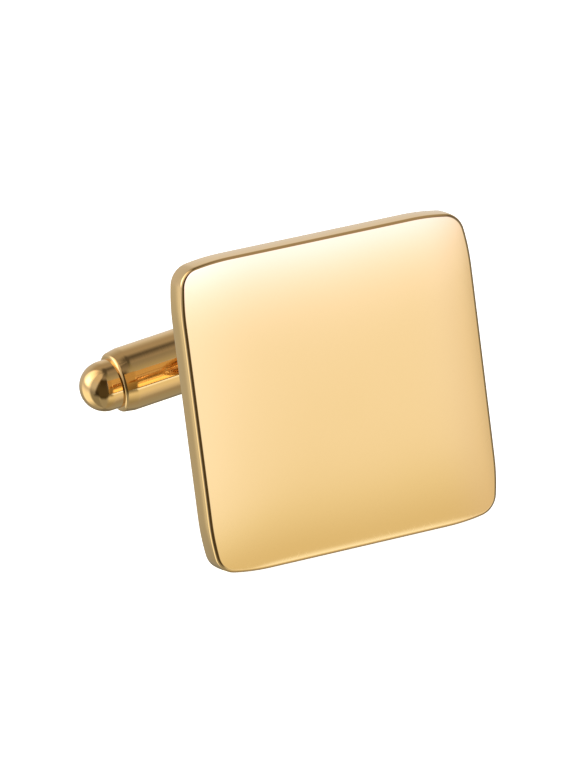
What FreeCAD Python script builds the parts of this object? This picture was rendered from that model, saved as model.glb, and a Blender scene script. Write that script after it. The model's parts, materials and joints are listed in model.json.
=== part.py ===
"""Square cufflink with a swivel bullet back.

Frame: the face looks along -Y, the post runs along +Y and +Z is up. The origin
is the centre of the head's flat back, on the post's axis. Millimetres.
"""
import FreeCAD, Part
import math
import os

from FreeCAD import Vector

# Head: a solid square plate, softly crowned in front and flat behind
head_side = 18.0
head_rim = 1.57            # back face to the edge where the crowned face begins
face_crown = 0.27          # rise of the face's middle over that edge
crown_square = 6.0         # how square the crown's contour lines are
crown_rolloff = 4.6        # how late the crown falls away towards the edge
corner_radius = 1.24
corner_lead_radius = 13.0  # gentle curve that leads from a side into its corner
corner_lead_turn = 9.6     # how far that curve turns before the corner proper, degrees
edge_round = 0.2
back_edge_break = 0.07

# Foot: a round pad soldered into a shallow seat in the head's back
foot_diameter = 8.0
foot_thickness = 1.05
foot_seat_depth = 0.4
foot_seat_clearance = 0.03
foot_edge_slope = 0.35

# Post: a round neck that opens into a two-armed yoke
pivot_distance = 16.07     # head's back to the pivot pin's axis
closure_turn = 6.07        # turn of the closure about the post, left end down, degrees
neck_inset = 0.15          # each side of the neck inside the width of the arms
neck_flare = 0.4           # spread of the neck where it stands on the foot
neck_blend = 0.55          # hollow round where the neck meets the yoke's bend
tenon_diameter = 1.8
arm_width = 3.0
arm_thickness = 1.0
arm_edge_round = 0.22      # outer edges of the arms and of the bend
arm_edge_break = 0.15      # their inner edges
arm_clearance = 0.18       # each arm to the side of the toggle
swing_clearance = 0.8      # toggle's end to the bottom of the yoke's slot

# Pivot pin: a rivet with four flats at its middle
pin_diameter = 1.4
pin_flat_width = 1.0
pin_flat_length = 2.2
pin_head_diameter = 2.3
pin_head_height = 0.4
pin_clearance = 0.05

# Toggle: a tube with drawn-in ends and a bullet plug in each end
tube_diameter = 3.79
tube_wall = 0.47
tube_length = 13.2
mouth_diameter = 3.52
mouth_taper = 0.75
bullet_diameter = 2.97
bullet_land = 0.53         # straight part of the bullet between the tube and its round nose
shank_length = 1.6

# Bow spring: a bent leaf in the tube that bears on the pin's flats
spring_width = 1.8
spring_thickness = 0.2
spring_end_clearance = 0.3
spring_seat_clearance = 0.02

# Sizes that follow from these
foot_top = foot_thickness - foot_seat_depth
foot_radius = foot_diameter / 2
neck_radius = arm_width / 2 - neck_inset
pin_radius = pin_diameter / 2
tube_radius = tube_diameter / 2
bore_radius = tube_radius - tube_wall
arm_inner = tube_radius + arm_clearance
arm_outer = arm_inner + arm_thickness
bullet_radius = bullet_diameter / 2
toggle_reach = tube_length / 2 + bullet_land + bullet_radius
slot_bottom = pivot_distance - toggle_reach - swing_clearance
bend_centre = slot_bottom + arm_inner
overcut = 1.0              # how far a cutting shape runs past what it cuts
touching = 1e-5            # closer than this counts as the same place

ALONG_POST = Vector(0, 1, 0)
ALONG_PIN = Vector(0, 0, 1)
ALONG_TOGGLE = Vector(1, 0, 0)
ORIGIN = Vector(0, 0, 0)


def line(start, end):
    """A straight edge."""
    return Part.LineSegment(start, end).toShape()


def arc(start, through, end):
    """A circular edge through three points."""
    return Part.Arc(start, through, end).toShape()


def path(points):
    """Straight edges from point to point."""
    return [line(a, b) for a, b in zip(points, points[1:])]


def turned(edges, axis):
    """The solid of revolution of a closed outline about an axis through the origin."""
    face = Part.Face(Part.Wire(edges))
    return face.revolve(ORIGIN, axis, 360)


def edges_between(shape, low, high):
    """The edges whose two ends both lie between two depths along the post."""
    chosen = []
    for edge in shape.Edges:
        if all(low <= vertex.Point.y <= high for vertex in edge.Vertexes):
            chosen.append(edge)
    return chosen


def set_on_post(shape):
    """Carries a closure piece from the pivot's own frame to its place on the post."""
    shape.translate(ALONG_POST * pivot_distance)
    shape.rotate(ORIGIN, ALONG_POST, -closure_turn)
    return shape


def rounded_square():
    """The head's outline: straight sides that lead gently into tight round corners."""
    half = head_side / 2
    turn = math.radians(corner_lead_turn)
    drop = corner_lead_radius * (1 - math.cos(turn))
    centre = half - drop - corner_radius * math.cos(turn)
    straight = centre + (corner_radius - corner_lead_radius) * math.sin(turn)
    tip = centre + corner_radius * math.sqrt(0.5)
    def on_lead(angle):
        fall = corner_lead_radius * (1 - math.cos(angle))
        return Vector(straight + corner_lead_radius * math.sin(angle), 0, half - fall)
    def flipped(point):
        return Vector(point.z, 0, point.x)
    start, middle, end = on_lead(0), on_lead(turn / 2), on_lead(turn)
    edges = []
    for quarter in range(4):
        corner = [
            line(Vector(-straight, 0, half), start),
            arc(start, middle, end),
            arc(end, Vector(tip, 0, tip), flipped(end)),
            arc(flipped(end), flipped(middle), flipped(start)),
        ]
        for edge in corner:
            edge.rotate(ORIGIN, ALONG_POST, 90 * quarter)
            edges.append(edge)
    return Part.Wire(edges)


def crown_depth(x, z):
    """Depth of the face below its middle, equal to the crown all along the rim."""
    half = head_side / 2
    squareness = abs(x / half) ** crown_square + abs(z / half) ** crown_square
    return face_crown * squareness ** (crown_rolloff / crown_square)


def crowned_face():
    """The face as one smooth surface, a little larger than the head."""
    grid_count = 16
    reach = head_side / 2 + overcut / 2
    steps = [reach * (2 * i / grid_count - 1) for i in range(grid_count + 1)]
    front = -(head_rim + face_crown)
    grid = [[Vector(x, front + crown_depth(x, z), z) for z in steps] for x in steps]
    surface = Part.BSplineSurface()
    surface.interpolate(grid)
    return surface.toShape()


def head_plate():
    depth = head_rim + face_crown + overcut
    block = Part.Face(rounded_square()).extrude(ALONG_POST * -depth)
    waste = crowned_face().extrude(ALONG_POST * -(depth + overcut))
    plate = block.cut(waste)
    rim = edges_between(plate, -head_rim - face_crown, -head_rim / 2)
    rim = [edge for edge in rim if edge.Length > edge_round]
    plate = plate.makeFillet(edge_round, rim)
    back = edges_between(plate, -touching, touching)
    plate = plate.makeChamfer(back_edge_break, back)
    seat_radius = foot_radius + foot_seat_clearance
    seat = Part.makeCylinder(
        seat_radius, foot_seat_depth + overcut, Vector(0, -foot_seat_depth, 0), ALONG_POST
    )
    return plate.cut(seat)


def post_foot():
    """The pad, with a sloped upper edge and a hole for the post's tenon."""
    hole = tenon_diameter / 2
    slope_start = Vector(foot_radius - foot_edge_slope, foot_top, 0)
    edges = path([
        slope_start,
        Vector(hole, foot_top, 0),
        Vector(hole, -foot_seat_depth, 0),
        Vector(foot_radius, -foot_seat_depth, 0),
        Vector(foot_radius, foot_top - foot_edge_slope, 0),
        slope_start,
    ])
    return turned(edges, ALONG_POST)


def yoke_strip():
    """The bent strip of the yoke, square at its two ends."""
    def bend(height):
        return arc(
            Vector(0, bend_centre, height),
            Vector(0, bend_centre - height, 0),
            Vector(0, bend_centre, -height),
        )
    def leg(height):
        return [Vector(0, pivot_distance, height), Vector(0, bend_centre, height)]
    edges = path(leg(arm_outer)) + [bend(arm_outer)]
    edges += path(leg(-arm_outer)[::-1])
    edges += path([Vector(0, pivot_distance, -arm_outer), Vector(0, pivot_distance, -arm_inner)])
    edges += path(leg(-arm_inner)) + [bend(arm_inner)]
    edges += path(leg(arm_inner)[::-1])
    edges += path([Vector(0, pivot_distance, arm_inner), Vector(0, pivot_distance, arm_outer)])
    outline = Part.Wire(Part.__sortEdges__(edges))
    outline.translate(ALONG_TOGGLE * (-arm_width / 2))
    return Part.Face(outline).extrude(ALONG_TOGGLE * arm_width)


def post_neck():
    """The round neck, flared where it stands on the foot, and the tenon below it."""
    tenon = tenon_diameter / 2
    neck_end = slot_bottom - arm_thickness / 2
    flare_top = Vector(neck_radius, foot_top + neck_flare, 0)
    edges = path([
        flare_top,
        Vector(neck_radius, neck_end, 0),
        Vector(0, neck_end, 0),
        Vector(0, -foot_seat_depth, 0),
        Vector(tenon, -foot_seat_depth, 0),
        Vector(tenon, foot_top, 0),
        Vector(neck_radius + neck_flare, foot_top, 0),
        flare_top,
    ])
    return turned(edges, ALONG_POST)


def post_yoke():
    """Tenon, neck and yoke in one piece, with a hole for the pin through both arms."""
    yoke = yoke_strip()
    eye_radius = arm_width / 2
    for bottom in (arm_inner, -arm_outer):
        eye = Part.makeCylinder(
            eye_radius, arm_thickness, Vector(0, pivot_distance, bottom), ALONG_PIN
        )
        yoke = yoke.fuse(eye)
    yoke = yoke.removeSplitter()
    yoke = yoke.makeFillet(arm_edge_round, arm_edges(yoke, arm_outer))
    yoke = yoke.makeChamfer(arm_edge_break, arm_edges(yoke, arm_inner))
    yoke = yoke.fuse(post_neck())
    seam = [edge for edge in yoke.Edges if meets_neck(edge)]
    yoke = yoke.makeFillet(neck_blend, seam)
    hole = Part.makeCylinder(
        pin_radius,
        2 * (arm_outer + overcut),
        Vector(0, pivot_distance, -arm_outer - overcut),
        ALONG_PIN,
    )
    yoke = yoke.cut(hole)
    yoke.rotate(ORIGIN, ALONG_POST, -closure_turn)
    return yoke


def arm_edges(yoke, height):
    """The edges of the outer or inner side of the arms, their round ends and the bend."""
    chosen = []
    for edge in yoke.Edges:
        ends = [edge.valueAt(edge.FirstParameter), edge.valueAt(edge.LastParameter)]
        middle = edge.valueAt((edge.FirstParameter + edge.LastParameter) / 2)
        off_side = [
            abs(math.hypot(point.z, min(point.y - bend_centre, 0)) - height)
            for point in ends + [middle]
        ]
        if max(off_side) < touching and (middle - ends[0]).Length > touching:
            chosen.append(edge)
    return chosen


def meets_neck(edge):
    """True for the seam between the neck and the outside of the bend."""
    lowest = slot_bottom - arm_thickness - touching
    for share in (0.0, 0.25, 0.5, 0.75):
        span = edge.LastParameter - edge.FirstParameter
        point = edge.valueAt(edge.FirstParameter + share * span)
        off_neck = abs(math.hypot(point.x, point.z) - neck_radius)
        if off_neck > touching or point.y < lowest:
            return False
    return True


def pivot_pin():
    """The rivet: round through the arms and the tube, four-sided between."""
    crest = arm_outer + pin_head_height
    head_radius = pin_head_diameter / 2
    crown_radius = (head_radius ** 2 + pin_head_height ** 2) / (2 * pin_head_height)
    half_angle = math.asin(head_radius / crown_radius) / 2
    rise = crest - crown_radius * (1 - math.cos(half_angle))
    reach = crown_radius * math.sin(half_angle)
    edges = [
        line(Vector(0, 0, -crest), Vector(0, 0, crest)),
        arc(Vector(0, 0, crest), Vector(reach, 0, rise), Vector(head_radius, 0, arm_outer)),
    ]
    edges += path([
        Vector(head_radius, 0, arm_outer),
        Vector(pin_radius, 0, arm_outer),
        Vector(pin_radius, 0, -arm_outer),
        Vector(head_radius, 0, -arm_outer),
    ])
    edges.append(
        arc(Vector(head_radius, 0, -arm_outer), Vector(reach, 0, -rise), Vector(0, 0, -crest))
    )
    pin = turned(edges, ALONG_PIN)
    collar = Part.makeCylinder(
        pin_radius + overcut, pin_flat_length, Vector(0, 0, -pin_flat_length / 2), ALONG_PIN
    )
    corner = Vector(-pin_flat_width / 2, -pin_flat_width / 2, -pin_flat_length / 2)
    core = Part.makeBox(pin_flat_width, pin_flat_width, pin_flat_length, corner)
    return set_on_post(pin.cut(collar.cut(core)))


def toggle_tube():
    """The tube, drawn in at both mouths, with a cross hole that runs on the pin."""
    end = tube_length / 2
    shoulder = end - mouth_taper
    mouth_radius = mouth_diameter / 2
    outline = path([
        Vector(-end, bore_radius, 0),
        Vector(end, bore_radius, 0),
        Vector(end, mouth_radius, 0),
        Vector(shoulder, tube_radius, 0),
        Vector(-shoulder, tube_radius, 0),
        Vector(-end, mouth_radius, 0),
        Vector(-end, bore_radius, 0),
    ])
    tube = turned(outline, ALONG_TOGGLE)
    hole = Part.makeCylinder(
        pin_radius + pin_clearance,
        2 * (tube_radius + overcut),
        Vector(0, 0, -tube_radius - overcut),
        ALONG_PIN,
    )
    return set_on_post(tube.cut(hole))


def bullet_end(side):
    """A plug with its shank in the tube and its half-round nose outside."""
    mouth = tube_length / 2
    nose_start = mouth + bullet_land
    slant = bullet_radius * math.sqrt(0.5)
    edges = [
        arc(
            Vector(nose_start, bullet_radius, 0),
            Vector(nose_start + slant, slant, 0),
            Vector(toggle_reach, 0, 0),
        )
    ]
    edges += path([
        Vector(toggle_reach, 0, 0),
        Vector(mouth - shank_length, 0, 0),
        Vector(mouth - shank_length, bore_radius, 0),
        Vector(mouth, bore_radius, 0),
        Vector(mouth, bullet_radius, 0),
        Vector(nose_start, bullet_radius, 0),
    ])
    plug = turned(edges, ALONG_TOGGLE)
    if side < 0:
        plug.rotate(ORIGIN, ALONG_PIN, 180)
    return set_on_post(plug)


def bow_spring():
    """A leaf whose middle rests on the pin's flat and whose ends rest on the bore."""
    reach = tube_length / 2 - shank_length - spring_end_clearance
    half_width = spring_width / 2
    middle = pin_flat_width / 2 + spring_seat_clearance
    chord = math.sqrt(bore_radius ** 2 - half_width ** 2)
    end = chord - spring_seat_clearance - spring_thickness
    raised = Vector(0, spring_thickness, 0)
    left = Vector(-reach, end, -half_width)
    centre = Vector(0, middle, -half_width)
    right = Vector(reach, end, -half_width)
    edges = [
        arc(left, centre, right),
        line(right, right + raised),
        arc(right + raised, centre + raised, left + raised),
        line(left + raised, left),
    ]
    leaf = Part.Face(Part.Wire(edges)).extrude(ALONG_PIN * spring_width)
    return set_on_post(leaf)


pieces = {
    "head_plate": head_plate(),
    "post_foot": post_foot(),
    "post_yoke": post_yoke(),
    "pivot_pin": pivot_pin(),
    "toggle_tube": toggle_tube(),
    "bullet_end_left": bullet_end(-1),
    "bullet_end_right": bullet_end(1),
    "bow_spring": bow_spring(),
}

os.makedirs("parts", exist_ok=True)
for name, shape in pieces.items():
    shape.exportStep("parts/" + name + ".step")
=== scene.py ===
"""Looks of the square gold cufflink: mirror-polished head, forked post and swivel bullet toggle."""
import json
import math

import bmesh
import bpy
from mathutils import Matrix, Vector


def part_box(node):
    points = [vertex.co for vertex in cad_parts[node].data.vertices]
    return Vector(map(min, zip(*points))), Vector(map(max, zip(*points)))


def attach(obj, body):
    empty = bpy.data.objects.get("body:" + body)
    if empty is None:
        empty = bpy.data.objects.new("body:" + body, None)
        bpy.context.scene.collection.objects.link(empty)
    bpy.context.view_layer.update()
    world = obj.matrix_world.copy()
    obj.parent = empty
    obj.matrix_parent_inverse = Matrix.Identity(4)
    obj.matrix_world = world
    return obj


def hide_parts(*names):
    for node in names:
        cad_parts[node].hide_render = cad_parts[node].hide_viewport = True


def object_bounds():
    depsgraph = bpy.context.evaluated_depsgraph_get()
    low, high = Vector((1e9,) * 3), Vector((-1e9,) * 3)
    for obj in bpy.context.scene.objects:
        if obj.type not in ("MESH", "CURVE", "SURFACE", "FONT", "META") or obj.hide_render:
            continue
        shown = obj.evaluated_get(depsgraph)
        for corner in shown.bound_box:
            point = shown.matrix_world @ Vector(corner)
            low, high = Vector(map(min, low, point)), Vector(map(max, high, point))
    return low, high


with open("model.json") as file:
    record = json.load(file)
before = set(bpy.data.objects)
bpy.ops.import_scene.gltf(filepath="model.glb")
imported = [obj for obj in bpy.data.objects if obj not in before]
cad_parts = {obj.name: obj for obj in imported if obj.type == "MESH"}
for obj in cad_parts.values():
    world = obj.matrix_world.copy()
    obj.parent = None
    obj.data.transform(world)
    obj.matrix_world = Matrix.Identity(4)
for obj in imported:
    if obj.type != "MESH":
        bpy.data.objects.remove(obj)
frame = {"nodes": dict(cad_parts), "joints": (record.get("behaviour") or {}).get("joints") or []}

MM = 0.001
QUARTER_TURN = math.pi / 2
cad_low, cad_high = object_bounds()

# Head
head_low, head_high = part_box("head_plate")
HALF_SIDE = head_high.x
FACE_FRONT = head_low.y
FACE_CROWN = 0.27 * MM
CROWN_SQUARE = 6.0
CROWN_ROLLOFF = 4.6
CORNER_RADIUS = 1.24 * MM
LEAD_RADIUS = 13.0 * MM
LEAD_TURN = math.radians(9.6)
EDGE_ROUND = 0.2 * MM
BACK_EDGE_ROUND = 0.12 * MM
WALL_BULGE = 0.045 * MM       # polishing leaves the walls a little barrelled
WALL_CREST = 0.7              # how far back from the face they stand out most
BACK_SKIN = 0.03 * MM         # what lies this close to the flat back has the back's finish
BACK_BLEND = 0.02 * MM

# Foot, let into the back of the head
foot_low, foot_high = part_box("post_foot")
FOOT_RADIUS = foot_high.x
FOOT_TOP = foot_high.y
FOOT_SLOPE = 0.35 * MM
FOOT_ROUND = 0.1 * MM
SEAT_DEPTH = -foot_low.y
SEAT_CLEARANCE = 0.03 * MM
SEAT_ROUND = 0.03 * MM

# Closure, turned a little about the post
swivel = frame["joints"][0]
PIVOT = Vector(swivel["pos_m"])
PIN_AXIS = Vector(swivel["axis"]).normalized()
CLOSURE_TURN = math.atan2(PIN_AXIS.x, PIN_AXIS.z)

# Toggle
tube_low, tube_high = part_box("toggle_tube")
plug_low, plug_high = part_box("bullet_end_right")
TUBE_RADIUS = (tube_high.y - tube_low.y) / 2
TUBE_WALL = 0.47 * MM
TUBE_BORE = TUBE_RADIUS - TUBE_WALL
TUBE_HALF = 6.6 * MM
MOUTH_RADIUS = 1.76 * MM
MOUTH_TAPER = 0.75 * MM
LIP_ROUND = 0.22 * MM
BORE_ROUND = 0.04 * MM
SHOULDER_ROUND = 1.2 * MM
PLUG_RADIUS = (plug_high.y - plug_low.y) / 2
PLUG_LAND = 0.53 * MM
PLUG_SHANK = 1.6 * MM
SHANK_ROUND = 0.1 * MM
TOGGLE_REACH = TUBE_HALF + PLUG_LAND + PLUG_RADIUS

# Forked post
yoke_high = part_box("post_yoke")[1]
ARM_HALF_WIDTH = yoke_high.y - PIVOT.y
ARM_INNER = TUBE_RADIUS + 0.18 * MM
ARM_THICKNESS = 1.0 * MM
ARM_OUTER = ARM_INNER + ARM_THICKNESS
ARM_EDGE_ROUND = 0.2 * MM
SWING_CLEARANCE = 0.8 * MM
BEND_CENTRE = PIVOT.y - TOGGLE_REACH - SWING_CLEARANCE + ARM_INNER
NECK_RADIUS = ARM_HALF_WIDTH - 0.15 * MM
NECK_FLARE = 0.4 * MM
# How far the neck stands out and how far up, in flares
FLARE_CURVE = ((1.0, 0.0), (0.62, 0.1), (0.3, 0.34), (0.09, 0.7), (0.0, 1.2))
NECK_BLEND = 0.605 * MM
BLEND_LIMIT = ARM_HALF_WIDTH - ARM_EDGE_ROUND * 0.6    # the blend stays on the flat of the strip

# Pivot pin
PIN_RADIUS = 0.7 * MM
PIN_HEAD_RADIUS = 1.15 * MM
PIN_HEAD_HEIGHT = 0.4 * MM

# Fineness of the meshes
WELD = 1e-4 * MM
SHARP_EDGE = math.radians(40)
ARC_STEP = math.radians(9)
DOME_STEPS = 12
NOSE_STEPS = 32
NECK_SEGMENTS = 96
BLEND_STEPS = 10
FOOT_SEGMENTS = 128
RIVET_SEGMENTS = 64
TOGGLE_SEGMENTS = 160


class Quantity:
    """A number that changes from point to point, written as arithmetic and kept as Math nodes."""

    def __init__(self, tree, socket):
        self.tree = tree
        self.socket = socket

    def math(self, operation, *others):
        node = self.tree.nodes.new("ShaderNodeMath")
        node.operation = operation
        for slot, term in zip(node.inputs, (self, *others)):
            feed(self.tree, term, slot)
        return Quantity(self.tree, node.outputs[0])

    def __add__(self, other):
        return self.math("ADD", other)

    __radd__ = __add__

    def __sub__(self, other):
        return self.math("SUBTRACT", other)

    def __rsub__(self, other):
        return self.math("MULTIPLY", -1.0) + other

    def __mul__(self, other):
        return self.math("MULTIPLY", other)

    __rmul__ = __mul__

    def __truediv__(self, other):
        return self.math("DIVIDE", other)

    def __rtruediv__(self, other):
        return self ** -1.0 * other

    def __pow__(self, other):
        return self.math("POWER", other)

    def sin(self):
        return self.math("SINE")

    def cos(self):
        return self.math("COSINE")

    def unsigned(self):
        return self.math("ABSOLUTE")

    def root(self):
        return self.at_least(0.0).math("SQRT")

    def at_most(self, limit):
        return self.math("MINIMUM", limit)

    def at_least(self, limit):
        return self.math("MAXIMUM", limit)

    def share(self, start, length):
        """How much of the stretch from start is behind this place, from 0 to 1."""
        part = (self - start) / length
        return part.at_least(0.0).at_most(1.0)

    def toward(self, other, share):
        return self + (other - self) * share


def feed(tree, value, slot):
    """Links a quantity or an output to a socket, or writes a plain value on it."""
    if isinstance(value, Quantity):
        value = value.socket
    if isinstance(value, bpy.types.NodeSocket):
        tree.links.new(value, slot)
    else:
        slot.default_value = value


def add_node(tree, kind, settings=None, **inputs):
    """A node with its settings, and its inputs by name."""
    node = tree.nodes.new(kind)
    for name, value in (settings or {}).items():
        setattr(node, name, value)
    for name, value in inputs.items():
        feed(tree, value, node.inputs[name.replace("_", " ")])
    return node


def mixed_colour(tree, share, first, second):
    """A colour between two others, each a plain colour or an output."""
    mix = add_node(tree, "ShaderNodeMix", {"data_type": "RGBA"})
    feed(tree, share, mix.inputs["Factor"])
    slots = [socket for socket in mix.inputs if socket.type == "RGBA"]
    feed(tree, first, slots[0])
    feed(tree, second, slots[1])
    return mix.outputs["Result"]


def shape_tree(name, sizes, counts=()):
    """A geometry tree with named sizes and a material: the tree, its input node and its sizes."""
    tree = bpy.data.node_groups.new(name, "GeometryNodeTree")
    tree.is_modifier = True
    tree.interface.new_socket("Geometry", in_out="INPUT", socket_type="NodeSocketGeometry")
    for size in sizes:
        tree.interface.new_socket(size, in_out="INPUT", socket_type="NodeSocketFloat")
    for count in counts:
        tree.interface.new_socket(count, in_out="INPUT", socket_type="NodeSocketInt")
    tree.interface.new_socket("Material", in_out="INPUT", socket_type="NodeSocketMaterial")
    tree.interface.new_socket("Geometry", in_out="OUTPUT", socket_type="NodeSocketGeometry")
    given = tree.nodes.new("NodeGroupInput")
    values = {size: Quantity(tree, given.outputs[size]) for size in (*sizes, *counts)}
    return tree, given, values


def unit_grid(tree, around, along):
    """A grid whose columns and rows run from 0 to 1."""
    grid = add_node(
        tree, "GeometryNodeMeshGrid",
        Size_X=1.0, Size_Y=1.0, Vertices_X=around, Vertices_Y=along,
    )
    place = tree.nodes.new("GeometryNodeInputPosition")
    parts = add_node(tree, "ShaderNodeSeparateXYZ", Vector=place.outputs[0])
    column = Quantity(tree, parts.outputs["X"]) + 0.5
    row = Quantity(tree, parts.outputs["Y"]) + 0.5
    return grid, column, row


def close_tree(tree, given, grid, x, y, z):
    """Moves the grid into shape, welds its seams and gives it its material."""
    place = add_node(tree, "ShaderNodeCombineXYZ", X=x, Y=y, Z=z)
    moved = add_node(
        tree, "GeometryNodeSetPosition",
        Geometry=grid.outputs["Mesh"], Position=place.outputs[0],
    )
    welded = add_node(
        tree, "GeometryNodeMergeByDistance", Geometry=moved.outputs[0], Distance=WELD
    )
    smooth = add_node(tree, "GeometryNodeSetShadeSmooth", Geometry=welded.outputs[0])
    whole = add_node(tree, "GeometryNodeRealizeInstances", Geometry=smooth.outputs[0])
    painted = add_node(
        tree, "GeometryNodeSetMaterial",
        Geometry=whole.outputs[0], Material=given.outputs["Material"],
    )
    result = tree.nodes.new("NodeGroupOutput")
    tree.links.new(painted.outputs[0], result.inputs[0])


def crowned_plate_tree():
    """A square plate in rings: crowned face, soft edge, wall, flat back and round seat."""
    tree, given, size = shape_tree("crowned_plate", [
        "Half Side", "Corner Radius", "Lead Radius", "Lead Turn",
        "Front", "Crown", "Crown Square", "Crown Rolloff",
        "Edge Round", "Wall Bulge", "Wall Crest", "Back Edge Round",
        "Seat Radius", "Seat Depth",
    ])
    rings = {
        "crown": 56, "edge": 12, "wall": 10, "back_edge": 5, "back": 6, "seat_wall": 1, "seat": 1,
    }
    ring_count = sum(rings.values())
    points_a_side = 50
    grid, column, row = unit_grid(tree, 4 * points_a_side + 1, ring_count + 1)
    ring = (row * ring_count).math("ROUND")
    done = {}
    for name, count in rings.items():
        done[name] = ring.share(sum(rings[earlier] for earlier in done), count)

    # One side and one corner: how far along, and which way the wall faces
    side_share = 0.36
    lead_share = 0.14
    corner_start = side_share + lead_share
    corner_end = 1.0 - lead_share
    quarters = column * 4.0
    quarter = quarters.math("FLOOR")
    stretch = quarters - quarter
    lead = size["Lead Turn"]
    first = lead * stretch.share(side_share, lead_share)
    round_corner = stretch.share(corner_start, corner_end - corner_start)
    corner = lead + (QUARTER_TURN - lead * 2.0) * round_corner
    last = QUARTER_TURN - lead + lead * stretch.share(corner_end, lead_share)
    facing = first + corner + last - QUARTER_TURN
    drop = size["Lead Radius"] * (1.0 - lead.cos())
    centre = size["Half Side"] - drop - size["Corner Radius"] * lead.cos()
    straight = centre + (size["Corner Radius"] - size["Lead Radius"]) * lead.sin()
    across = straight * (stretch.share(0.0, side_share) * 2.0 - 1.0)
    across = across + size["Lead Radius"] * (first.sin() + last.sin() - lead.cos())
    across = across + size["Corner Radius"] * (corner.sin() - lead.sin())
    outward = size["Half Side"] - size["Corner Radius"] * (lead.cos() - corner.cos())
    outward = outward - size["Lead Radius"] * (1.0 - first.cos() + lead.sin() - last.cos())

    # Soft edges and barrelled walls
    edge_turn = done["edge"] * QUARTER_TURN
    back_turn = done["back_edge"] * QUARTER_TURN
    inset = size["Edge Round"] * (1.0 - edge_turn.sin())
    inset = inset + size["Back Edge Round"] * (1.0 - back_turn.cos())
    to_crest = (done["wall"] - size["Wall Crest"]) / size["Wall Crest"]
    inset = inset - size["Wall Bulge"] * (1.0 - to_crest * to_crest)
    across = across - inset * facing.sin()
    outward = outward - inset * facing.cos()
    turn = quarter * QUARTER_TURN
    spread = (done["crown"] * QUARTER_TURN).sin()
    x = (across * turn.cos() + outward * turn.sin()) * spread
    z = (outward * turn.cos() - across * turn.sin()) * spread

    # Depth: the crown falls off toward the edges in a soft square
    contour = (x / size["Half Side"]).unsigned() ** size["Crown Square"]
    contour = contour + (z / size["Half Side"]).unsigned() ** size["Crown Square"]
    fall = size["Crown"] * contour ** (size["Crown Rolloff"] / size["Crown Square"])
    face = size["Front"] + fall + size["Edge Round"] * (1.0 - edge_turn.cos())
    y = face.toward(size["Back Edge Round"] * -1.0, done["wall"])
    y = y + size["Back Edge Round"] * back_turn.sin() - size["Seat Depth"] * done["seat_wall"]

    # The back is drawn in to the round seat, and the seat's floor to its middle
    distance = (x * x + z * z).root().at_least(WELD)
    drawn_in = 1.0 + (size["Seat Radius"] / distance - 1.0) * done["back"]
    drawn_in = drawn_in * (1.0 - done["seat"])
    close_tree(tree, given, grid, x * drawn_in, y, z * drawn_in)
    return tree


def bent_strip_tree():
    """A strip with round ends and soft edges, bent to a U that opens along +Y."""
    tree, given, size = shape_tree("bent_strip", [
        "Half Width", "Thickness", "Inner Height", "Bend Centre", "Eye", "Edge Round",
    ])
    points_a_side = 30
    points_along = 261
    grid, column, row = unit_grid(tree, 4 * points_a_side + 1, points_along)
    middle = size["Inner Height"] + size["Thickness"] * 0.5
    quarter_bend = middle * QUARTER_TURN
    to_eye = quarter_bend + size["Eye"] - size["Bend Centre"]

    # Along the strip, from the middle of the bend to the round end of each arm
    eye_share = 0.86
    run = row * 2.0 - 1.0
    end_turn = run.unsigned().share(eye_share, 1.0 - eye_share) * QUARTER_TURN
    past_eye = size["Half Width"] * end_turn.sin()
    length = to_eye * run.unsigned().share(0.0, eye_share) + past_eye

    # Around the strip: over the top, down one edge, back below and up the other edge
    stretch = column * 4.0
    across = stretch.share(0.0, 1.0) * 2.0 - stretch.share(2.0, 1.0) * 2.0 - 1.0
    level = 1.0 - stretch.share(1.0, 1.0) * 2.0 + stretch.share(3.0, 1.0) * 2.0
    x = size["Half Width"] * end_turn.cos() * (across * QUARTER_TURN).sin()

    edge_gap = size["Half Width"] - (x * x + past_eye * past_eye).root()
    short = size["Edge Round"] - edge_gap.at_most(size["Edge Round"])
    rise = (size["Edge Round"] * size["Edge Round"] - short * short).root()
    half_height = size["Thickness"] * 0.5 - size["Edge Round"] + rise

    bend = (length / middle).at_most(QUARTER_TURN)
    leg = (length - quarter_bend).at_least(0.0)
    radius = middle + half_height * level
    y = size["Bend Centre"] - radius * bend.cos() + leg
    z = radius * bend.sin() * run.math("SIGN")
    close_tree(tree, given, grid, x, y, z)
    return tree


def turned_tree():
    """Turns a profile, its points given as radius and height, about the Z axis."""
    tree, given, count = shape_tree("turned_piece", [], ["Segments"])
    profile = given.outputs["Geometry"]
    points = add_node(tree, "GeometryNodeAttributeDomainSize", Geometry=profile)
    last = Quantity(tree, points.outputs["Point Count"]) - 1.0
    grid, column, row = unit_grid(tree, count["Segments"] + 1.0, points.outputs["Point Count"])
    place = tree.nodes.new("GeometryNodeInputPosition")
    sample = add_node(
        tree, "GeometryNodeSampleIndex", {"data_type": "FLOAT_VECTOR"},
        Geometry=profile, Index=(row * last).math("ROUND"), Value=place.outputs[0],
    )
    parts = add_node(tree, "ShaderNodeSeparateXYZ", Vector=sample.outputs[0])
    radius = Quantity(tree, parts.outputs["X"])
    turn = column * math.tau
    close_tree(tree, given, grid, radius * turn.cos(), radius * turn.sin(), parts.outputs["Z"])
    return tree


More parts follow.
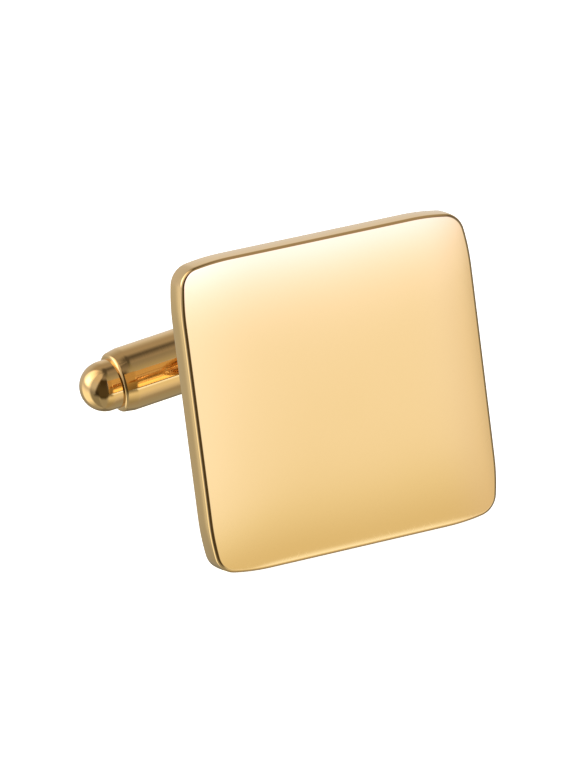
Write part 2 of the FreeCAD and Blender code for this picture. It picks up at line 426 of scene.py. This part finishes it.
def shaped(name, base, tree, material, values):
    """Runs a geometry tree over a base mesh and returns the result as a plain mesh."""
    carrier = bpy.data.objects.new(name, base)
    bpy.context.scene.collection.objects.link(carrier)
    modifier = carrier.modifiers.new("shape", "NODES")
    modifier.node_group = tree
    for socket in tree.interface.items_tree:
        if socket.in_out == "INPUT" and socket.name in values:
            modifier[socket.identifier] = values[socket.name]
        if socket.in_out == "INPUT" and socket.name == "Material":
            modifier[socket.identifier] = material
    view = bpy.context.evaluated_depsgraph_get()
    mesh = bpy.data.meshes.new_from_object(carrier.evaluated_get(view))
    bpy.data.objects.remove(carrier)
    mesh.materials.clear()
    mesh.materials.append(material)
    mesh.polygons.foreach_set("material_index", [0] * len(mesh.polygons))
    work = bmesh.new()
    work.from_mesh(mesh)
    bmesh.ops.recalc_face_normals(work, faces=work.faces)
    work.to_mesh(mesh)
    work.free()
    return mesh


def profile_mesh(corners):
    """A profile as a row of points. A corner is radius, height and how far it is rounded."""
    points = []
    for index, (radius, height, rounding) in enumerate(corners):
        corner = Vector((radius, 0, height))
        if not rounding:
            points.append(corner)
            continue
        before = Vector((corners[index - 1][0], 0, corners[index - 1][1])) - corner
        after = Vector((corners[index + 1][0], 0, corners[index + 1][1])) - corner
        before.normalize()
        after.normalize()
        half = before.angle(after) / 2
        centre = corner + (before + after).normalized() * (rounding / math.sin(half))
        start = corner + before * (rounding / math.tan(half)) - centre
        end = corner + after * (rounding / math.tan(half)) - centre
        steps = max(2, round((math.pi - 2 * half) / ARC_STEP))
        points += [centre + start.slerp(end, step / steps) * rounding for step in range(steps + 1)]
    mesh = bpy.data.meshes.new("profile")
    mesh.from_pydata(points, [(i, i + 1) for i in range(len(points) - 1)], [])
    return mesh


def turned(name, corners, material, segments):
    return shaped(name, profile_mesh(corners), TURNED, material, {"Segments": segments})


def other_end(half):
    """The second half of a profile whose two ends are alike."""
    return [(radius, -height, rounding) for radius, height, rounding in reversed(half)]


def finish_piece(name, mesh, body, node):
    """Sets a finished mesh in the scene as the piece that stands for a CAD node."""
    mesh.set_sharp_from_angle(angle=SHARP_EDGE)
    piece = bpy.data.objects.new(name, mesh)
    bpy.context.scene.collection.objects.link(piece)
    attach(piece, body)
    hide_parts(node)


def joined(meshes):
    """Several meshes of one material in one."""
    work = bmesh.new()
    for mesh in meshes:
        work.from_mesh(mesh)
    whole = bpy.data.meshes.new("joined")
    work.to_mesh(whole)
    work.free()
    whole.materials.append(meshes[0].materials[0])
    return whole


def along_post():
    """From a turned piece's own Z axis to the post's axis."""
    return Matrix.Rotation(-QUARTER_TURN, 4, "X")


def along_pin():
    """From a turned piece's own Z axis to the pivot pin's axis."""
    return Matrix.Translation(PIVOT) @ Matrix.Rotation(CLOSURE_TURN, 4, "Y")


def along_toggle():
    """From a turned piece's own Z axis to the toggle's axis, through the pivot."""
    return along_pin() @ Matrix.Rotation(QUARTER_TURN, 4, "Y")


def crowned_head(material):
    mesh = shaped("crowned_head", bpy.data.meshes.new("blank"), crowned_plate_tree(), material, {
        "Half Side": HALF_SIDE - WALL_BULGE,
        "Corner Radius": CORNER_RADIUS,
        "Lead Radius": LEAD_RADIUS,
        "Lead Turn": LEAD_TURN,
        "Front": FACE_FRONT,
        "Crown": FACE_CROWN,
        "Crown Square": CROWN_SQUARE,
        "Crown Rolloff": CROWN_ROLLOFF,
        "Edge Round": EDGE_ROUND,
        "Wall Bulge": WALL_BULGE,
        "Wall Crest": WALL_CREST,
        "Back Edge Round": BACK_EDGE_ROUND,
        "Seat Radius": FOOT_RADIUS + SEAT_CLEARANCE,
        "Seat Depth": SEAT_DEPTH,
    })
    finish_piece("crowned_head", mesh, "head", "head_plate")


def foot_pad(material):
    mesh = turned("foot_pad", [
        (0, -SEAT_DEPTH, 0),
        (FOOT_RADIUS, -SEAT_DEPTH, SEAT_ROUND),
        (FOOT_RADIUS, FOOT_TOP - FOOT_SLOPE, FOOT_ROUND),
        (FOOT_RADIUS - FOOT_SLOPE, FOOT_TOP, FOOT_ROUND),
        (0, FOOT_TOP, 0),
    ], material, FOOT_SEGMENTS)
    mesh.transform(along_post())
    finish_piece("foot_pad", mesh, "head", "post_foot")


def on_bend(side, radius):
    """Where a point beside the neck's axis lies on the outside of the bend."""
    x = max(-BLEND_LIMIT, min(BLEND_LIMIT, side.x * radius))
    z = side.z * radius
    return Vector((x, BEND_CENTRE - math.sqrt(ARM_OUTER ** 2 - z ** 2), z))


def neck_line(side):
    """One line up the neck: the flare on the foot, then the sweep on to the bend."""
    line = []
    for out, up in FLARE_CURVE:
        height = FOOT_TOP + NECK_FLARE * up
        line.append(side * (NECK_RADIUS + NECK_FLARE * out) + Vector((0, height, 0)))
    corner = side * NECK_RADIUS + Vector((0, on_bend(side, NECK_RADIUS).y, 0))
    start = corner - Vector((0, NECK_BLEND, 0))
    end = on_bend(side, NECK_RADIUS + NECK_BLEND)
    for step in range(BLEND_STEPS + 1):
        share = step / BLEND_STEPS
        line.append(start.lerp(corner, share).lerp(corner.lerp(end, share), share))
    return line


def post_neck(material):
    """The neck, flared on the foot, and swept at its top on to the outside of the bend."""
    lines = []
    for index in range(NECK_SEGMENTS):
        turn = math.tau * index / NECK_SEGMENTS
        lines.append(neck_line(Vector((math.cos(turn), 0, math.sin(turn)))))
    rings = list(zip(*lines))
    points = [point for ring in rings for point in ring]
    top = len(points) - NECK_SEGMENTS
    faces = [tuple(range(NECK_SEGMENTS)), tuple(reversed(range(top, len(points))))]
    for low in range(0, top, NECK_SEGMENTS):
        high = low + NECK_SEGMENTS
        for index in range(NECK_SEGMENTS):
            following = (index + 1) % NECK_SEGMENTS
            faces.append((low + index, high + index, high + following, low + following))
    mesh = bpy.data.meshes.new("post_neck")
    mesh.from_pydata(points, [], faces)
    mesh.shade_smooth()
    mesh.materials.append(material)
    return mesh


def forked_post(material):
    strip = shaped("forked_post", bpy.data.meshes.new("blank"), bent_strip_tree(), material, {
        "Half Width": ARM_HALF_WIDTH,
        "Thickness": ARM_THICKNESS,
        "Inner Height": ARM_INNER,
        "Bend Centre": BEND_CENTRE,
        "Eye": PIVOT.y,
        "Edge Round": ARM_EDGE_ROUND,
    })
    mesh = joined([strip, post_neck(material)])
    mesh.transform(Matrix.Rotation(CLOSURE_TURN, 4, "Y"))
    finish_piece("forked_post", mesh, "head", "post_yoke")


def pivot_rivet(material):
    crest = ARM_OUTER + PIN_HEAD_HEIGHT
    dome_radius = (PIN_HEAD_RADIUS ** 2 + PIN_HEAD_HEIGHT ** 2) / (2 * PIN_HEAD_HEIGHT)
    spread = math.asin(PIN_HEAD_RADIUS / dome_radius)
    half = []
    for step in range(DOME_STEPS + 1):
        turn = spread * step / DOME_STEPS
        half.append((dome_radius * math.sin(turn), crest - dome_radius * (1 - math.cos(turn)), 0))
    half += [(PIN_HEAD_RADIUS, ARM_OUTER, 0), (PIN_RADIUS, ARM_OUTER, 0)]
    mesh = turned("pivot_rivet", half + other_end(half), material, RIVET_SEGMENTS)
    mesh.transform(along_pin())
    finish_piece("pivot_rivet", mesh, "head", "pivot_pin")


def toggle_barrel(material):
    half = [
        (TUBE_BORE, 0, 0),
        (TUBE_BORE, TUBE_HALF, BORE_ROUND),
        (MOUTH_RADIUS, TUBE_HALF, LIP_ROUND),
        (TUBE_RADIUS, TUBE_HALF - MOUTH_TAPER, SHOULDER_ROUND),
    ]
    mesh = turned("toggle_barrel", half + other_end(half), material, TOGGLE_SEGMENTS)
    mesh.transform(along_toggle())
    finish_piece("toggle_barrel", mesh, "toggle", "toggle_tube")


def bullet_tip(name, side, node, material):
    nose = TUBE_HALF + PLUG_LAND
    profile = []
    for step in range(NOSE_STEPS + 1):
        turn = QUARTER_TURN * step / NOSE_STEPS
        profile.append((PLUG_RADIUS * math.sin(turn), nose + PLUG_RADIUS * math.cos(turn), 0))
    profile += [
        (PLUG_RADIUS, TUBE_HALF, 0),
        (TUBE_BORE, TUBE_HALF, 0),
        (TUBE_BORE, TUBE_HALF - PLUG_SHANK, SHANK_ROUND),
        (0, TUBE_HALF - PLUG_SHANK, 0),
    ]
    corners = [(radius, side * height, rounding) for radius, height, rounding in profile]
    mesh = turned(name, corners, material, TOGGLE_SEGMENTS)
    mesh.transform(along_toggle())
    finish_piece(name, mesh, "toggle", node)


def dress_spring(material):
    """The bow spring keeps its CAD mesh and gets its own steel."""
    spring = frame["nodes"]["bow_spring"].data
    spring.materials.clear()
    spring.materials.append(material)


def shader_group(name, inputs, outputs):
    """An empty shader group with named inputs and number outputs."""
    group = bpy.data.node_groups.new(name, "ShaderNodeTree")
    group.interface.new_socket("Vector", in_out="INPUT", socket_type="NodeSocketVector")
    for socket, value in inputs.items():
        made = group.interface.new_socket(socket, in_out="INPUT", socket_type="NodeSocketFloat")
        made.default_value = value
    for socket in outputs:
        group.interface.new_socket(socket, in_out="OUTPUT", socket_type="NodeSocketFloat")
    return group, group.nodes.new("NodeGroupInput"), group.nodes.new("NodeGroupOutput")


def hairlines_group():
    """Fine lines that run along Y and Z, as a buffing wheel or a lathe tool leaves them."""
    group, given, result = shader_group(
        "hairlines", {"Width": 0.05 * MM, "Length": 3.0 * MM, "Threshold": 0.55}, ["Lines"]
    )
    softness = 0.2
    across = 1.0 / Quantity(group, given.outputs["Width"])
    along_line = 1.0 / Quantity(group, given.outputs["Length"])
    stretch = add_node(group, "ShaderNodeCombineXYZ", X=across, Y=along_line, Z=along_line)
    stretched = add_node(group, "ShaderNodeVectorMath", {"operation": "MULTIPLY"})
    feed(group, given.outputs["Vector"], stretched.inputs[0])
    feed(group, stretch.outputs[0], stretched.inputs[1])
    noise = add_node(
        group, "ShaderNodeTexNoise", Vector=stretched.outputs[0], Scale=1.0, Detail=2.0
    )
    threshold = Quantity(group, given.outputs["Threshold"])
    lines = Quantity(group, noise.outputs[0]).share(threshold, softness)
    feed(group, lines, result.inputs["Lines"])
    return group


def plating_group():
    """Soft clouds of haze in the polish, slow changes of tone in the plating, and specks of dust."""
    group, given, result = shader_group(
        "plating", {"Cloud Size": 4.0 * MM, "Speck Size": 0.25 * MM}, ["Haze", "Tone", "Specks"]
    )
    noise_start = 0.3
    noise_span = 0.4
    speck_core = 0.04
    speck_rim = 0.1
    tone_scale = 0.35
    cloud_scale = 1.0 / Quantity(group, given.outputs["Cloud Size"])
    speck_scale = 1.0 / Quantity(group, given.outputs["Speck Size"])
    place = given.outputs["Vector"]
    clouds = add_node(
        group, "ShaderNodeTexNoise", Vector=place, Scale=cloud_scale, Detail=4.0, Roughness=0.6
    )
    tone = add_node(
        group, "ShaderNodeTexNoise", Vector=place, Scale=cloud_scale * tone_scale, Detail=2.0
    )
    grains = add_node(group, "ShaderNodeTexVoronoi", Vector=place, Scale=speck_scale)
    specks = 1.0 - Quantity(group, grains.outputs["Distance"]).share(speck_core, speck_rim)
    for noise, name in ((clouds, "Haze"), (tone, "Tone")):
        value = Quantity(group, noise.outputs[0]).share(noise_start, noise_span)
        feed(group, value, result.inputs[name])
    feed(group, specks, result.inputs["Specks"])
    return group


class Finish:
    """A metal in the making: its node tree, its shader and its place on the piece."""

    def __init__(self, name):
        self.material = bpy.data.materials.new(name)
        self.material.use_nodes = True
        self.tree = self.material.node_tree
        self.shader = self.tree.nodes["Principled BSDF"]
        self.shader.inputs["Metallic"].default_value = 1.0
        self.place = self.tree.nodes.new("ShaderNodeTexCoord").outputs["Object"]

    def lines(self, turn, width, length, threshold):
        """Hairlines, turned from the piece's own axes."""
        turned_place = add_node(self.tree, "ShaderNodeMapping", Vector=self.place, Rotation=turn)
        node = add_node(
            self.tree, "ShaderNodeGroup", {"node_tree": HAIRLINES},
            Vector=turned_place.outputs[0], Width=width, Length=length, Threshold=threshold,
        )
        return Quantity(self.tree, node.outputs["Lines"])

    def plating(self, cloud_size, speck_size):
        """Haze, tone and specks."""
        node = add_node(
            self.tree, "ShaderNodeGroup", {"node_tree": PLATING},
            Vector=self.place, Cloud_Size=cloud_size, Speck_Size=speck_size,
        )
        return [Quantity(self.tree, node.outputs[name]) for name in ("Haze", "Tone", "Specks")]

    def colour(self, tone, first, second):
        """Base colour between two tones."""
        mix = mixed_colour(self.tree, tone, (*first, 1.0), (*second, 1.0))
        feed(self.tree, mix, self.shader.inputs["Base Color"])

    def tint(self, mask, colour):
        """Another colour over the base colour, where the mask is 1."""
        base = self.shader.inputs["Base Color"].links[0].from_socket
        mix = mixed_colour(self.tree, mask, base, (*colour, 1.0))
        feed(self.tree, mix, self.shader.inputs["Base Color"])

    def surface(self, roughness, height, relief):
        """Roughness, and a bump of a given depth."""
        feed(self.tree, roughness, self.shader.inputs["Roughness"])
        bump = add_node(self.tree, "ShaderNodeBump", Height=height, Strength=0.5, Distance=relief)
        feed(self.tree, bump.outputs[0], self.shader.inputs["Normal"])


def mirror_gold():
    """The head: gold plate buffed to a mirror, with stray hairlines in two directions."""
    finish = Finish("head_gold")
    haze, tone, specks = finish.plating(cloud_size=4.0 * MM, speck_size=0.7 * MM)
    strokes = {"width": 0.05 * MM, "length": 3.0 * MM, "threshold": 0.6}
    lines = finish.lines(turn=(0.3, 0.5, 0.2), **strokes)
    lines = lines.math("MAXIMUM", finish.lines(turn=(-0.5, 0.2, 1.1), **strokes))
    depth = add_node(finish.tree, "ShaderNodeSeparateXYZ", Vector=finish.place).outputs["Y"]
    back = Quantity(finish.tree, depth).share(-BACK_SKIN, BACK_BLEND)
    finish.colour(tone, first=(0.93, 0.645, 0.315), second=(0.915, 0.628, 0.295))
    finish.tint(back, (0.92, 0.6, 0.24))
    roughness = 0.035 + haze * 0.03 + lines * 0.02 + specks * 0.03 + back * 0.07
    finish.surface(roughness, height=lines * -1.0, relief=0.0008 * MM)
    return finish.material


def tumbled_gold():
    """The foot and the forked post: gold plate over a tumbled, softly dimpled surface."""
    finish = Finish("closure_gold")
    haze, tone, specks = finish.plating(cloud_size=2.0 * MM, speck_size=0.3 * MM)
    lines = finish.lines(turn=(0.9, 0.4, 0.7), width=0.04 * MM, length=0.8 * MM, threshold=0.56)
    finish.colour(tone, first=(0.91, 0.61, 0.28), second=(0.87, 0.56, 0.235))
    roughness = 0.1 + haze * 0.06 + lines * 0.05
    finish.surface(roughness, height=haze * 0.5 - specks, relief=0.004 * MM)
    return finish.material


def peened_gold():
    """The rivet: gold plate over hammered heads."""
    finish = Finish("rivet_gold")
    haze, tone, specks = finish.plating(cloud_size=0.5 * MM, speck_size=0.35 * MM)
    lines = finish.lines(turn=(0.0, 0.8, 0.3), width=0.03 * MM, length=0.5 * MM, threshold=0.56)
    finish.colour(tone, first=(0.91, 0.615, 0.285), second=(0.85, 0.55, 0.235))
    roughness = 0.09 + haze * 0.08 + lines * 0.04
    finish.surface(roughness, height=haze - specks * 0.6, relief=0.006 * MM)
    return finish.material


def lathe_gold():
    """The toggle: gold plate over fine tool lines that run round the toggle's axis."""
    finish = Finish("toggle_gold")
    haze, tone, specks = finish.plating(cloud_size=1.6 * MM, speck_size=0.5 * MM)
    to_axis = (0.0, -CLOSURE_TURN, 0.0)
    rings = finish.lines(turn=to_axis, width=0.05 * MM, length=6.0 * MM, threshold=0.5)
    finish.colour(tone, first=(0.915, 0.625, 0.29), second=(0.895, 0.595, 0.265))
    roughness = 0.045 + haze * 0.035 + rings * 0.03 + specks * 0.02
    finish.surface(roughness, height=rings * -1.0, relief=0.0008 * MM)
    return finish.material


def rolled_steel():
    """The bow spring: rolled strip, with its lines along the leaf and a touch of heat colour."""
    finish = Finish("spring_steel")
    haze, tone, specks = finish.plating(cloud_size=1.2 * MM, speck_size=0.3 * MM)
    to_leaf = (0.0, -CLOSURE_TURN, QUARTER_TURN)
    lines = finish.lines(turn=to_leaf, width=0.03 * MM, length=4.0 * MM, threshold=0.45)
    finish.colour(tone, first=(0.56, 0.56, 0.57), second=(0.5, 0.46, 0.42))
    roughness = 0.24 + haze * 0.1 + lines * 0.12 + specks * 0.05
    finish.surface(roughness, height=lines * -1.0, relief=0.002 * MM)
    return finish.material


# Camera, at the viewing angle of the reference picture
CAMERA_AZIMUTH = math.radians(-23.07)
CAMERA_ELEVATION = math.radians(12.29)
CAMERA_ROLL = math.radians(-7.31)
CAMERA_DISTANCE = 400 * MM
PICTURE_RIGHT = 2.351 * MM         # how far the camera slides the head in the picture
PICTURE_DOWN = 0.288 * MM
LENS = 334.0
NEAREST = 10 * MM
FARTHEST = 10.0


def view_axes():
    """Where the camera looks, and what is right and up in its picture."""
    look = Vector((
        -math.sin(CAMERA_AZIMUTH) * math.cos(CAMERA_ELEVATION),
        math.cos(CAMERA_AZIMUTH) * math.cos(CAMERA_ELEVATION),
        -math.sin(CAMERA_ELEVATION),
    ))
    level_right = look.cross(Vector((0, 0, 1))).normalized()
    level_up = level_right.cross(look)
    right = level_right * math.cos(CAMERA_ROLL) + level_up * math.sin(CAMERA_ROLL)
    up = level_up * math.cos(CAMERA_ROLL) - level_right * math.sin(CAMERA_ROLL)
    return look, right, up


def place_camera(look, right, up):
    place = look * -CAMERA_DISTANCE - right * PICTURE_RIGHT + up * PICTURE_DOWN
    camera = bpy.data.objects.new("camera", bpy.data.cameras.new("camera"))
    bpy.context.scene.collection.objects.link(camera)
    camera.data.lens = LENS
    camera.data.clip_start = NEAREST
    camera.data.clip_end = FARTHEST
    camera.matrix_world = Matrix((
        (right.x, up.x, -look.x, place.x),
        (right.y, up.y, -look.y, place.y),
        (right.z, up.z, -look.z, place.z),
        (0, 0, 0, 1),
    ))
    bpy.context.scene.camera = camera
    bpy.context.scene.view_settings.view_transform = "Standard"


# Light, which the gold mirrors. The cufflink leans back on its toggle when it is put down.
LEAN = math.radians(18.1)
DEGREES = 180 / math.pi
WHITE = (1, 1, 1, 1)


class Sky:
    """Where light comes from, in degrees, for a cufflink that lies on a table before the camera.

    height is the angle over the table, bearing the angle from the camera to the right, over the
    angle from the camera up over the top, and off_plane the angle to the right of that circle.
    """

    def __init__(self, tree, look, right):
        self.tree = tree
        self.direction = tree.nodes.new("ShaderNodeTexCoord").outputs["Generated"]
        table_up = Vector((0, -math.sin(LEAN), math.cos(LEAN)))
        toward_camera = (-look - table_up * -look.dot(table_up)).normalized()
        to_the_right = (right - table_up * right.dot(table_up)).normalized()
        upward = self.along(table_up).at_most(1.0).at_least(-1.0)
        sideways = self.along(to_the_right)
        forward = self.along(toward_camera)
        self.height = upward.math("ARCSINE") * DEGREES
        self.below = self.height * -1.0
        self.bearing = sideways.math("ARCTAN2", forward) * DEGREES
        self.over = upward.math("ARCTAN2", forward) * DEGREES
        self.off_plane = sideways.at_most(1.0).at_least(-1.0).math("ARCSINE") * DEGREES

    def along(self, axis):
        """How far a direction points along an axis."""
        dot = add_node(self.tree, "ShaderNodeVectorMath", {"operation": "DOT_PRODUCT"})
        feed(self.tree, self.direction, dot.inputs[0])
        feed(self.tree, axis, dot.inputs[1])
        return Quantity(self.tree, dot.outputs["Value"])


def ramp(quantity, start, end):
    """A soft step from 0 at the start to 1 at the end."""
    part = quantity.share(start, end - start)
    return part * part * (3.0 - part * 2.0)


def band(quantity, rise, top, fall, end):
    """A soft step up from rise to top, and down again from fall to end."""
    return ramp(quantity, rise, top) * (1.0 - ramp(quantity, fall, end))


def patch(quantity, middle, inner, outer):
    """1 within the inner reach of the middle, 0 beyond the outer one."""
    return 1.0 - ramp((quantity - middle).unsigned(), inner, outer)


def far_side(sky):
    """Behind the cufflink: a pale wall, and the far side of the table with a bright strip on it."""
    round_to_back = sky.bearing.unsigned()
    wall_glow = 0.22 + ramp(round_to_back, 160.0, 176.0) * 0.18
    room = patch(sky.height, 0.0, 10.0, 46.0) * wall_glow
    room = room + 0.36 - ramp(sky.height, 55.0, 75.0) * 0.06
    shadow = ramp(round_to_back, 140.0, 165.0) * ramp(sky.below, 12.0, 30.0)
    room = room * (1.0 - shadow * 0.4)
    strip = patch(sky.over, -145.0, 3.0, 9.0) * patch(sky.off_plane, 3.0, 6.0, 14.0)
    return room + strip * 1.7


def left_side(sky):
    """On the left: a tall soft box with a hot middle, and the table under it."""
    box = band(sky.height, -6.0, 12.0, 38.0, 74.0)
    table = band(sky.below, -8.0, 26.0, 40.0, 70.0)
    hot_middle = patch(sky.bearing, -94.0, 8.0, 20.0) * patch(sky.height, 18.0, 8.0, 20.0)
    return 0.45 + box * 1.1 + table * 0.75 + hot_middle


def warm_room(sky):
    """In front on the right: the warm room, dimmer toward its ceiling and its floor."""
    ceiling = ramp(sky.height, 34.0, 48.0) * 0.44 + ramp(sky.height, 46.0, 74.0) * 0.19
    return (1.0 - ramp(sky.below, 26.0, 62.0) * 0.55 - ceiling) * 0.75


def window_light(sky, right_front):
    """The window over the warm room, and the bright edge of the table under it."""
    window = band(sky.height, -9.0, 29.0, 34.0, 50.0)
    window = window * (1.0 - ramp(sky.bearing, 30.0, 90.0)) * right_front * 1.37
    glint = patch(sky.bearing, 58.0, 3.0, 10.0) * patch(sky.height, 14.0, 8.0, 13.0)
    table_edge = band(sky.below, 8.8, 10.5, 12.0, 19.0) * right_front
    return window + glint * 0.1 + table_edge * 0.55


def dark_front(sky):
    """Straight in front: the dark around the camera, wider at its foot."""
    shoulder = ramp(sky.height, -16.0, -4.0) * 3.0
    aside = (sky.bearing + 3.0 + shoulder).unsigned() - shoulder
    slant = sky.height * 0.2 - ramp(sky.below, 8.0, 18.0) * 8.0
    dark = 1.0 - ramp(aside + slant, 25.0, 37.0)
    hem = sky.height - ramp(aside, 8.0, 28.0) * 14.0
    return dark * ramp(hem, -44.0, -24.0) * (1.0 - ramp(sky.height, 48.0, 70.0))


def hung_shade(sky):
    """What the boom overhead and the flag on the right let through."""
    boom = patch(sky.off_plane, 0.0, 4.0, 15.0) * band(sky.over, 50.0, 95.0, 106.0, 124.0)
    flag = patch(sky.bearing, 105.0, 29.0, 46.0) * patch(sky.height, 0.0, 40.0, 60.0)
    return (1.0 - boom * 0.7) * (1.0 - flag * 0.65)


def studio_colour(tree, look, right):
    """All the light of the studio in one colour for each direction."""
    sky = Sky(tree, look, right)
    side_room = 0.28 + ramp(sky.height, -12.0, 16.0) * 0.34
    plain = far_side(sky).toward(side_room, patch(sky.bearing, -50.0, 22.0, 30.0))
    plain = plain.toward(left_side(sky), patch(sky.bearing + sky.height * 0.15, -94.0, 18.0, 34.0))
    right_front = patch(sky.bearing, 50.0, 24.0, 40.0)
    warm = warm_room(sky)
    white_table = band(sky.below, 9.0, 17.0, 24.0, 40.0) * 0.06
    window = window_light(sky, right_front)
    dark = dark_front(sky)
    shade = hung_shade(sky)

    # Each colour's share of the plain room, the warm room, the window and the dark
    high = ramp(sky.height, 20.0, 50.0)
    low = ramp(sky.below, 10.0, 25.0)
    warm_blue = 0.73 + ramp(sky.bearing, 49.0, 58.0) * 0.12
    window_blue = 1.45 + sky.height.share(0.0, 17.0) * 1.1
    shares = {
        "Red": (plain * (1.0 + high * 0.12), 1.07, 0.72, 0.86),
        "Green": (plain, 1.0, 1.0, 0.89),
        "Blue": (plain * (1.0 - high * 0.15) * (1.0 - low * 0.12), warm_blue, window_blue, 0.94),
    }
    colour = {}
    for name, (room, warm_share, window_share, dark_share) in shares.items():
        front = warm * warm_share + white_table
        lit = (room.toward(front, right_front) + window * window_share) * shade
        colour[name] = lit * (1.0 - dark * dark_share)
    return add_node(tree, "ShaderNodeCombineColor", **colour).outputs[0]


def light_studio(look, right):
    """A white backdrop for the camera, and the studio for everything that mirrors it."""
    world = bpy.data.worlds.new("studio")
    bpy.context.scene.world = world
    world.use_nodes = True
    tree = world.node_tree
    sight = tree.nodes.new("ShaderNodeLightPath").outputs["Is Camera Ray"]
    seen = mixed_colour(tree, sight, studio_colour(tree, look, right), WHITE)
    feed(tree, seen, tree.nodes["Background"].inputs["Color"])
    tree.nodes["Background"].inputs["Strength"].default_value = 1.0


def pale_floor():
    """A plain floor under the head's lower wall, lit so evenly that no shadow shows on it."""
    reach = 2.0
    level = cad_low.z
    corners = [(-reach, -reach), (reach, -reach), (reach, reach), (-reach, reach)]
    mesh = bpy.data.meshes.new("floor")
    mesh.from_pydata([(x, y, level) for x, y in corners], [], [(0, 1, 2, 3)])
    floor = bpy.data.objects.new("floor", mesh)
    bpy.context.scene.collection.objects.link(floor)
    pale = bpy.data.materials.new("pale_floor")
    pale.use_nodes = True
    shader = pale.node_tree.nodes["Principled BSDF"]
    shader.inputs["Base Color"].default_value = (0.9, 0.9, 0.9, 1)
    shader.inputs["Roughness"].default_value = 0.9
    shader.inputs["Emission Color"].default_value = WHITE
    shader.inputs["Emission Strength"].default_value = 1.0
    mesh.materials.append(pale)
    floor.visible_glossy = False


TURNED = turned_tree()
HAIRLINES = hairlines_group()
PLATING = plating_group()
closure_gold = tumbled_gold()
toggle_gold = lathe_gold()
crowned_head(mirror_gold())
foot_pad(closure_gold)
forked_post(closure_gold)
pivot_rivet(peened_gold())
toggle_barrel(toggle_gold)
bullet_tip("bullet_tip_left", -1, "bullet_end_left", toggle_gold)
bullet_tip("bullet_tip_right", 1, "bullet_end_right", toggle_gold)
dress_spring(rolled_steel())

look, right, up = view_axes()
place_camera(look, right, up)
light_studio(look, right)
pale_floor()
